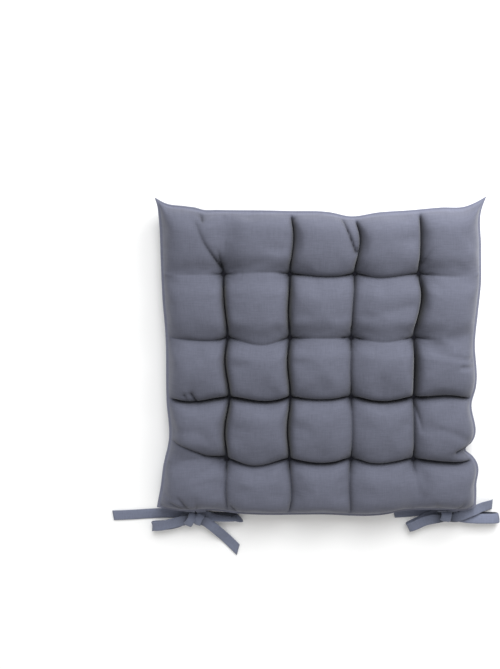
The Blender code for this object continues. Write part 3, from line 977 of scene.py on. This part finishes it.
def tie_section(half_width, thickness, cup):
    """Outline of a flat folded strap, slightly cupped, with soft edges."""
    outline = []
    for point in range(TIE_SECTION_POINTS):
        angle = 2 * math.pi * (point + 0.5) / TIE_SECTION_POINTS
        cosine, sine = math.cos(angle), math.sin(angle)
        across = math.copysign(abs(cosine) ** 0.6, cosine)
        height = math.copysign(abs(sine) ** 0.7, sine) * thickness / 2
        outline.append((across * half_width, height + cup * (across * across - 0.4)))
    return outline


def make_tie(name, finish):
    """One strap, drawn along its route, gathered where the knot holds it."""
    points, knot, twists, (loop_start, loop_end), cut = TIES[name]
    frames = level_directions(smooth_route(points, TIE_STEP))
    total = sum((b[0] - a[0]).length for a, b in zip(frames, frames[1:]))
    bm = bmesh.new()
    across_layer, along_layer, painted_shade_layer = strip_layers(bm)
    bmesh.ops.create_circle(bm, segments=TIE_SECTION_POINTS, radius=0.001, cap_ends=True)
    verts = bm.verts[:]
    face = bm.faces[:][0]
    travelled = 0.0
    for index, (point, along, level) in enumerate(frames):
        if index:
            travelled += (point - frames[index - 1][0]).length
            grown = bmesh.ops.extrude_face_region(bm, geom=[face])["geom"]
            if index > 1:
                bmesh.ops.delete(bm, geom=[face], context="FACES_ONLY")
            face = next(item for item in grown if isinstance(item, bmesh.types.BMFace))
            verts = list(face.verts)
        share = travelled / total
        from_knot = math.hypot(point.x - knot[0], point.y - knot[1])
        gathered = math.exp(-((from_knot / GATHER_REACH) ** 2))
        end = min(travelled, total - travelled)
        flat_end = min(end / TIE_FLAT_END, 1.0)
        half_width = TIE_WIDTH / 2 * (1 - GATHERED_NARROWING * gathered)
        thickness = TIE_THICKNESS * (1 + GATHERED_THICKENING * gathered)
        cup = TIE_CUP * math.sin(9 * share + len(name)) * flat_end
        twist = math.radians(float(np.interp(share, *zip(*twists)))) * (point.z > FLAT_BELOW)
        side = level * math.cos(twist) + along.cross(level) * math.sin(twist)
        upward = along.cross(side)
        slanted = cut * smooth_step(share, CUT_START, 1.0)
        # painted shade: the strap is darker near its knot, where the bow shades it, and on its upper
        # face inside a loop
        shaded = KNOT_SHADE * math.exp(-((from_knot / SHADE_REACH) ** 2))
        inside = smooth_step(share, loop_start, loop_start + LOOP_SHADE_RAMP)
        inside *= 1 - smooth_step(share, loop_end - LOOP_SHADE_RAMP, loop_end)
        for vert, (across, height) in zip(verts, tie_section(half_width, thickness, cup)):
            vert.co = point + side * across + upward * height + along * across * slanted
            faces_loop = inside * (vert.co.z > point.z)
            vert.co.z = max(vert.co.z, SEAT_CLEARANCE)
            vert[across_layer] = across
            vert[along_layer] = travelled
            vert[painted_shade_layer] = max(shaded, LOOP_SHADE * faces_loop)
    bmesh.ops.recalc_face_normals(bm, faces=bm.faces[:])
    piece = add_piece(name + "_strap", bm, finish)
    write_strip_map(piece.data)
    return piece, [point for point, _, _ in frames], total


def write_strip_map(mesh):
    """UV map of a strip: across and along, in metres."""
    strip = np.empty((len(mesh.vertices), 2))
    for column, name in enumerate(("across", "along")):
        values = np.empty(len(mesh.vertices))
        mesh.attributes[name].data.foreach_get("value", values)
        strip[:, column] = values
    corners = np.empty(len(mesh.loops), int)
    mesh.loops.foreach_get("vertex_index", corners)
    mesh.uv_layers.new(name="cloth").data.foreach_set("uv", strip[corners].ravel())


# name: middle, width along the bow, reach towards -Y and up, turn about Z and lean in degrees
KNOTS = {
    "left_knot_turn": ((-0.1722, -0.2080, 0.0096), 0.0128, 0.0094, 0.0092, -30, 8),
    "left_knot_lobe": ((-0.1601, -0.2084, 0.0088), 0.0112, 0.0080, 0.0086, -24, -6),
    "right_knot_turn": ((0.1692, -0.2030, 0.0096), 0.0155, 0.0080, 0.0092, -8, 0),
}
KNOT_THICKNESS = 0.0014
KNOT_RIM_SHADE = 0.6  # how much painted shade darkens the sides of a knot's turn
KNOT_STEPS = 36
KNOT_CUP = -0.0012  # how far the middle of a turn's strap bows inwards
KNOT_SQUEEZE = 0.12  # width that a turn loses above and below
KNOT_PLEATS = ((0.035, 3, 900), (0.02, 7, 0))  # size, number round the turn, slant in a metre


def make_knot(name, finish):
    """A turn of the same strap around the middle of a bow, drawn tight."""
    middle, width, reach, rise, turn, lean = KNOTS[name]
    bm = bmesh.new()
    across_layer, along_layer, painted_shade_layer = strip_layers(bm)
    ring = bmesh.ops.create_circle(bm, segments=TIE_SECTION_POINTS, radius=0.001)["verts"]
    for vert, (across, height) in zip(ring, tie_section(width / 2, KNOT_THICKNESS, KNOT_CUP)):
        vert.co = (across, 0, 1 + height / rise)
        vert[across_layer] = across
    edges = list({edge for vert in ring for edge in vert.link_edges})
    bmesh.ops.spin(
        bm,
        geom=ring + edges,
        cent=(0, 0, 0),
        axis=(1, 0, 0),
        angle=2 * math.pi,
        steps=KNOT_STEPS,
        use_merge=True,
    )
    bmesh.ops.remove_doubles(bm, verts=bm.verts[:], dist=1e-6)
    for vert in bm.verts:
        angle = math.atan2(vert.co.y, vert.co.z)
        pleat = 1.0
        for size, number, slant in KNOT_PLEATS:
            pleat += size * math.sin(number * angle + slant * vert.co.x)
        squeeze = 1 - KNOT_SQUEEZE * math.cos(angle) ** 2
        vert[along_layer] = angle * reach
        # painted shade on the sides of the turn
        vert[painted_shade_layer] = KNOT_RIM_SHADE * vert[across_layer] ** 4
        vert.co = (vert.co.x * squeeze, vert.co.y * reach * pleat, vert.co.z * rise * pleat)
    for degrees, axis in ((lean, "Y"), (turn, "Z")):
        matrix = Matrix.Rotation(math.radians(degrees), 3, axis)
        bmesh.ops.rotate(bm, verts=bm.verts[:], cent=(0, 0, 0), matrix=matrix)
    bmesh.ops.translate(bm, verts=bm.verts[:], vec=middle)
    for vert in bm.verts:
        vert.co.z = max(vert.co.z, SEAT_CLEARANCE)
    bmesh.ops.recalc_face_normals(bm, faces=bm.faces[:])
    piece = add_piece(name, bm, finish)
    write_strip_map(piece.data)
    return piece


# ---------------------------------------------------------------- materials
class Value:
    """A number in a material's nodes, so that maths on it is written as maths."""

    def __init__(self, finish, socket):
        self.finish = finish
        self.socket = socket

    def maths(self, operation, first, second):
        return self.finish.value("ShaderNodeMath", {"operation": operation}, {0: first, 1: second})

    def __add__(self, other):
        return self.maths("ADD", self, other)

    def __radd__(self, other):
        return self.maths("ADD", other, self)

    def __sub__(self, other):
        return self.maths("SUBTRACT", self, other)

    def __rsub__(self, other):
        return self.maths("SUBTRACT", other, self)

    def __mul__(self, other):
        return self.maths("MULTIPLY", self, other)

    def __rmul__(self, other):
        return self.maths("MULTIPLY", other, self)

    def __truediv__(self, other):
        return self.maths("DIVIDE", self, other)

    def __pow__(self, other):
        return self.maths("POWER", self, other)


class Finish:
    """A material under construction, around one Principled shader."""

    def __init__(self, name):
        self.material = bpy.data.materials.new(name)
        self.material.use_nodes = True
        self.nodes = self.material.node_tree.nodes
        self.links = self.material.node_tree.links
        self.shader = self.nodes["Principled BSDF"]

    def node(self, kind, settings, inputs):
        """Add one node: its settings first, then the values or links of its sockets."""
        node = self.nodes.new(kind)
        for name, setting in settings.items():
            setattr(node, name, setting)
        self.fill(node, inputs)
        return node

    def fill(self, node, inputs):
        for key, given in inputs.items():
            socket = given.socket if isinstance(given, Value) else given
            if isinstance(socket, bpy.types.NodeSocket):
                self.links.new(socket, node.inputs[key])
            else:
                node.inputs[key].default_value = socket

    def value(self, kind, settings, inputs, output=0):
        return Value(self, self.node(kind, settings, inputs).outputs[output])

    def toned(self, colour, tone):
        """A colour made lighter or darker by a number."""
        base = self.node("ShaderNodeRGB", {}, {}).outputs[0]
        base.default_value = (*colour, 1)
        inputs = {0: base, "Scale": tone}
        return self.value("ShaderNodeVectorMath", {"operation": "SCALE"}, inputs)

    def bump(self, strength, distance, height):
        inputs = {"Strength": strength, "Distance": distance, "Height": height}
        return self.value("ShaderNodeBump", {}, inputs)


THREAD_PITCH = 0.0008
SLUB_SCALES = (55, 900)  # noise scales along a thread and across it
SLOW_SCALE = 24
MOTTLE_SCALE = 260
RIM_WEAR_AND_HIGHLIGHT_GAIN = 0.45  # colour gained at the edge of the cover: partly wear where it rubs, partly a painted highlight for a pale rim
CREASE_PAINTED_SHADE = 0.92  # painted shade: colour lost in the deepest crease, standing in for shade in depth that the net can't hold
CREASE_FALL_OFF = 1.2  # how quickly that fades towards the crease's flanks


def woven_cloth(name, colour):
    """Plain-woven cotton: threads over and under, slubs, and slow changes of colour."""
    finish = Finish(name)
    cloth_map = finish.value("ShaderNodeUVMap", {"uv_map": "cloth"}, {})
    split = finish.node("ShaderNodeSeparateXYZ", {}, {0: cloth_map})
    across, up = (Value(finish, split.outputs[axis]) for axis in ("X", "Y"))

    def wave(place):
        turned = place * (math.pi / THREAD_PITCH)
        return finish.value("ShaderNodeMath", {"operation": "SINE"}, {0: turned})

    def streaks(across_scale, up_scale, detail):
        scaled = {0: across * across_scale, 1: up * up_scale}
        stretched = finish.value("ShaderNodeCombineXYZ", {}, scaled)
        return finish.value(
            "ShaderNodeTexNoise", {}, {"Vector": stretched, "Scale": 1.0, "Detail": detail}
        )

    over = wave(across) * wave(up) * 0.5 + 0.5
    level_slubs = streaks(*SLUB_SCALES, 2.0)
    upright_slubs = streaks(*reversed(SLUB_SCALES), 2.0)
    slow = streaks(SLOW_SCALE, SLOW_SCALE, 3.0)
    mottle = streaks(MOTTLE_SCALE, MOTTLE_SCALE, 2.0)
    tone = 1 + (
        (over - 0.5) * 0.16
        + (level_slubs - 0.5) * 0.34
        + (upright_slubs - 0.5) * 0.26
        + (slow - 0.5) * 0.16
        + (mottle - 0.5) * 0.14
    )
    # the crease attribute paints shade into the creases; the rim attribute makes the lip paler,
    # partly as wear and partly as a painted highlight
    crease, rim_wear_and_highlight = (
        finish.value("ShaderNodeAttribute", {"attribute_name": attribute}, {}, "Fac")
        for attribute in ("crease", "rim_wear_and_highlight")
    )
    painted_shade_highlight_and_wear = (1 - crease**CREASE_FALL_OFF * CREASE_PAINTED_SHADE) * (1 + rim_wear_and_highlight * RIM_WEAR_AND_HIGHLIGHT_GAIN)
    height = over * 0.5 + level_slubs * 0.9 + upright_slubs * 0.7
    finish.fill(
        finish.shader,
        {
            "Base Color": finish.toned(colour, tone * painted_shade_highlight_and_wear),
            "Roughness": 0.86 + (level_slubs - 0.5) * 0.12,
            "Normal": finish.bump(0.35, 0.0004, height),
            "Specular IOR Level": 0.18,
            "Sheen Weight": 0.18,
            "Sheen Roughness": 0.45,
        },
    )
    return finish.material


def fibre_fill(name, colour):
    """Loose matted fibre."""
    finish = Finish(name)
    place = finish.node("ShaderNodeTexCoord", {}, {}).outputs["Object"]
    tangle = finish.value("ShaderNodeTexNoise", {}, {"Vector": place, "Scale": 700.0, "Detail": 5.0})
    toned = finish.toned(colour, 0.85 + tangle * 0.3)
    bump = finish.bump(0.8, 0.0015, tangle)
    finish.fill(finish.shader, {"Base Color": toned, "Roughness": 0.95, "Normal": bump})
    return finish.material


def twisted_thread(name, colour):
    """Plied polyester thread."""
    finish = Finish(name)
    place = finish.node("ShaderNodeTexCoord", {}, {}).outputs["Object"]
    plies = finish.value(
        "ShaderNodeTexWave",
        {"bands_direction": "DIAGONAL"},
        {"Vector": place, "Scale": 900.0, "Distortion": 1.5},
    )
    finish.fill(
        finish.shader,
        {
            "Base Color": finish.toned(colour, 0.75 + plies * 0.5),
            "Roughness": 0.7 - plies * 0.1,
            "Normal": finish.bump(0.5, 0.0002, plies),
            "Specular IOR Level": 0.1,
        },
    )
    return finish.material


def plain_finish(name, colour, roughness):
    finish = Finish(name)
    finish.fill(finish.shader, {"Base Color": (*colour, 1), "Roughness": roughness})
    return finish.material


# ---------------------------------------------------------------- stage
class StageSettings(bpy.types.PropertyGroup):
    """Camera, lights and floor around the pad."""

    lens: bpy.props.FloatProperty(
        name="Lens",
        description="Focal length of the camera in millimetres",
        default=50.9,
    )
    camera_place: bpy.props.FloatVectorProperty(
        name="Camera place",
        description="Where the camera stands",
        default=(-0.0918, 0.2232, 1.2262),
        subtype="TRANSLATION",
    )
    camera_tilt: bpy.props.FloatProperty(
        name="Camera tilt",
        description="How far the camera leans towards the tie edge",
        default=math.radians(8.5),
        subtype="ANGLE",
    )
    window_power: bpy.props.FloatProperty(
        name="Window power",
        description="Strength of the broad light from beyond the far edge",
        default=2.1,
    )
    near_power: bpy.props.FloatProperty(
        name="Near light power",
        description="Power of the light that falls off across the pad, in watts",
        default=4.0,
    )
    sky_strength: bpy.props.FloatProperty(
        name="Sky strength",
        description="Strength of the even light from all round",
        default=0.65,
    )
    floor_colour: colour_setting("Floor colour", "Colour of the studio floor", (0.9, 0.9, 0.9))


FLOOR_SIZE = 6
FLOOR_GAP = 0.0004  # floor to the surface on which the pad rests


def add_light(name, kind, energy, direction):
    lamp = bpy.data.lights.new(name, kind)
    lamp.energy = energy
    piece = link(bpy.data.objects.new(name, lamp))
    piece.rotation_euler = Vector(direction).to_track_quat("-Z", "Y").to_euler()
    return piece


def make_stage(stage):
    scene = bpy.context.scene
    camera = link(bpy.data.objects.new("camera", bpy.data.cameras.new("camera")))
    camera.data.lens = stage.lens
    camera.location = stage.camera_place
    camera.rotation_euler = (-stage.camera_tilt, 0, 0)
    scene.camera = camera
    bm = bmesh.new()
    bmesh.ops.create_grid(bm, x_segments=1, y_segments=1, size=FLOOR_SIZE)
    bmesh.ops.translate(bm, verts=bm.verts[:], vec=(0, 0, -FLOOR_GAP))
    floor = add_piece("floor", bm, plain_finish("floor_paint", tuple(stage.floor_colour), 0.9))
    world = bpy.data.worlds.new("studio")
    scene.world = world
    world.use_nodes = True
    sky = world.node_tree.nodes["Background"].inputs
    sky["Color"].default_value = (1, 0.99, 0.97, 1)
    sky["Strength"].default_value = stage.sky_strength
    window = add_light("window", "SUN", stage.window_power, (-0.08, -1.0, -0.95))
    window.data.angle = math.radians(35)
    window.data.color = (0.96, 0.98, 1.0)
    near_light = add_light("near_light", "AREA", stage.near_power, (-0.32, -0.42, -0.36))
    near_light.data.size = 0.4
    near_light.location = (0.32, 0.52, 0.38)
    scene.view_settings.view_transform = "Standard"


# ---------------------------------------------------------------- operators
class FabricColours(bpy.types.PropertyGroup):
    """Colours of the pad's cloth, thread and fibre."""

    cover: colour_setting("Cover", "Colour of the cover's cloth", (0.101, 0.106, 0.141))
    # lighter than the cover's cloth: painted light that makes up for the pad's shade falling on the
    # ties
    tie: colour_setting("Ties", "Colour of the ties", (0.150, 0.166, 0.226))
    # near black: partly the thread's own dark colour, partly painted shade, so that the tacks at the
    # bottoms of the pits stay as dark as the pits' shade
    thread: colour_setting("Thread", "Colour of the tufting threads", (0.012, 0.012, 0.018))
    fibre: colour_setting("Fibre", "Colour of the filling", (0.8, 0.8, 0.78))


def fit(piece, slot, *nodes):
    """Hang a piece on the pad's one body, in place of its CAD nodes. Its slot is not used."""
    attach(piece, "root")
    if nodes:
        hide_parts(*nodes)


class SEATPAD_OT_stage(bpy.types.Operator):
    """Set up the camera, the lights and the floor"""

    bl_idname = "seat_pad.stage"
    bl_label = "Stage"

    def execute(self, context):
        make_stage(context.scene.seat_pad_stage)
        return {"FINISHED"}


class SEATPAD_OT_ties(bpy.types.Operator):
    """Make the four ties and the turns of their two bows"""

    bl_idname = "seat_pad.ties"
    bl_label = "Ties"

    def execute(self, context):
        finish = woven_cloth("tie_cloth", tuple(context.scene.seat_pad_colours.tie))
        knots = {name: make_knot(name, finish) for name in KNOTS}
        for knot in knots.values():
            fit(knot, "tie_cloth")
        knots_on_ties = {
            "tie_left_outer": ["left_knot_turn"],
            "tie_left_inner": ["left_knot_lobe"],
            "tie_right_inner": ["right_knot_turn"],
            "tie_right_outer": [],
        }
        for name, held_knots in knots_on_ties.items():
            strap, path, length = make_tie(name, finish)
            fit(strap, "tie_cloth", name)
        return {"FINISHED"}


class SEATPAD_OT_cover(bpy.types.Operator):
    """Swell both panels of the cover over the filling and fold their creases"""

    bl_idname = "seat_pad.cover"
    bl_label = "Cover"

    def execute(self, context):
        shape = context.scene.seat_pad_shape
        settle_panels(shape)
        finish = woven_cloth("cover_cloth", tuple(context.scene.seat_pad_colours.cover))
        for name, side, strength in (("top", 1, 1.0), ("bottom", -1, BOTTOM_PULL)):
            folded[name] = shape_panel(name, side, strength, shape)
            piece = cloth_shell(
                name + "_cover_cloth", folded[name], painted_crease_shade[name], side, finish, shape
            )
            fit(piece, "cover_cloth", name + "_cover")
        return {"FINISHED"}


class SEATPAD_OT_filling(bpy.types.Operator):
    """Fill the cover with loose fibre"""

    bl_idname = "seat_pad.filling"
    bl_label = "Filling"

    def execute(self, context):
        finish = fibre_fill("polyester_fibre", tuple(context.scene.seat_pad_colours.fibre))
        piece = make_filling(folded["top"], folded["bottom"], finish)
        fit(piece, "filling_fibre", "filling")
        return {"FINISHED"}


class SEATPAD_OT_seam(bpy.types.Operator):
    """Lay the turned-in edges of both panels inside the lip"""

    bl_idname = "seat_pad.seam"
    bl_label = "Seam"

    def execute(self, context):
        finish = woven_cloth("turned_in_cloth", tuple(context.scene.seat_pad_colours.cover))
        shape = context.scene.seat_pad_shape
        piece = make_seam_allowance(folded["top"], folded["bottom"], finish, shape)
        fit(piece, "cover_cloth", "seam_allowance")
        return {"FINISHED"}


class SEATPAD_OT_tufts(bpy.types.Operator):
    """Sew the sixteen tufting threads"""

    bl_idname = "seat_pad.tufts"
    bl_label = "Tufts"

    def execute(self, context):
        finish = twisted_thread("tufting_thread", tuple(context.scene.seat_pad_colours.thread))
        for row in TUFT_ROWS:
            for column in TUFT_ROWS:
                line_x = -TUFT_LINE + CELLS_PER_PITCH * (column - 1)
                line_y = TUFT_LINE - CELLS_PER_PITCH * (row - 1)
                index = (2 * (line_x + EDGE_LINE), 2 * (line_y + EDGE_LINE))
                above, below = folded["top"][index][2], folded["bottom"][index][2]
                piece = make_tuft(row, column, above, below, finish)
                fit(piece, "tuft_thread", f"tuft_thread_{row}{column}")
        return {"FINISHED"}


class SEATPAD_PT_panel(bpy.types.Panel):
    """Lists the pad's settings and the buttons that make its pieces"""

    bl_idname = "SEATPAD_PT_panel"
    bl_label = "Seat Pad"
    bl_space_type = "VIEW_3D"
    bl_region_type = "UI"
    bl_category = "Seat Pad"

    def draw(self, context):
        for group in ("seat_pad_shape", "seat_pad_colours", "seat_pad_stage"):
            settings = getattr(context.scene, group)
            for name in settings.__annotations__:
                self.layout.prop(settings, name)
        for operator in OPERATORS:
            self.layout.operator(operator.bl_idname)


OPERATORS = (
    SEATPAD_OT_stage,
    SEATPAD_OT_ties,
    SEATPAD_OT_cover,
    SEATPAD_OT_filling,
    SEATPAD_OT_seam,
    SEATPAD_OT_tufts,
)
SETTINGS = {
    "seat_pad_shape": PadShape,
    "seat_pad_colours": FabricColours,
    "seat_pad_stage": StageSettings,
}
CLASSES = (*SETTINGS.values(), *OPERATORS, SEATPAD_PT_panel)


def register():
    for item in CLASSES:
        bpy.utils.register_class(item)
    for name, group in SETTINGS.items():
        setattr(bpy.types.Scene, name, bpy.props.PointerProperty(type=group))


def unregister():
    for name in SETTINGS:
        delattr(bpy.types.Scene, name)
    for item in reversed(CLASSES):
        bpy.utils.unregister_class(item)


def main():
    register()
    bpy.ops.seat_pad.stage()
    bpy.ops.seat_pad.ties()
    bpy.ops.seat_pad.cover()
    bpy.ops.seat_pad.filling()
    bpy.ops.seat_pad.seam()
    bpy.ops.seat_pad.tufts()


if __name__ == "__main__":
    main()
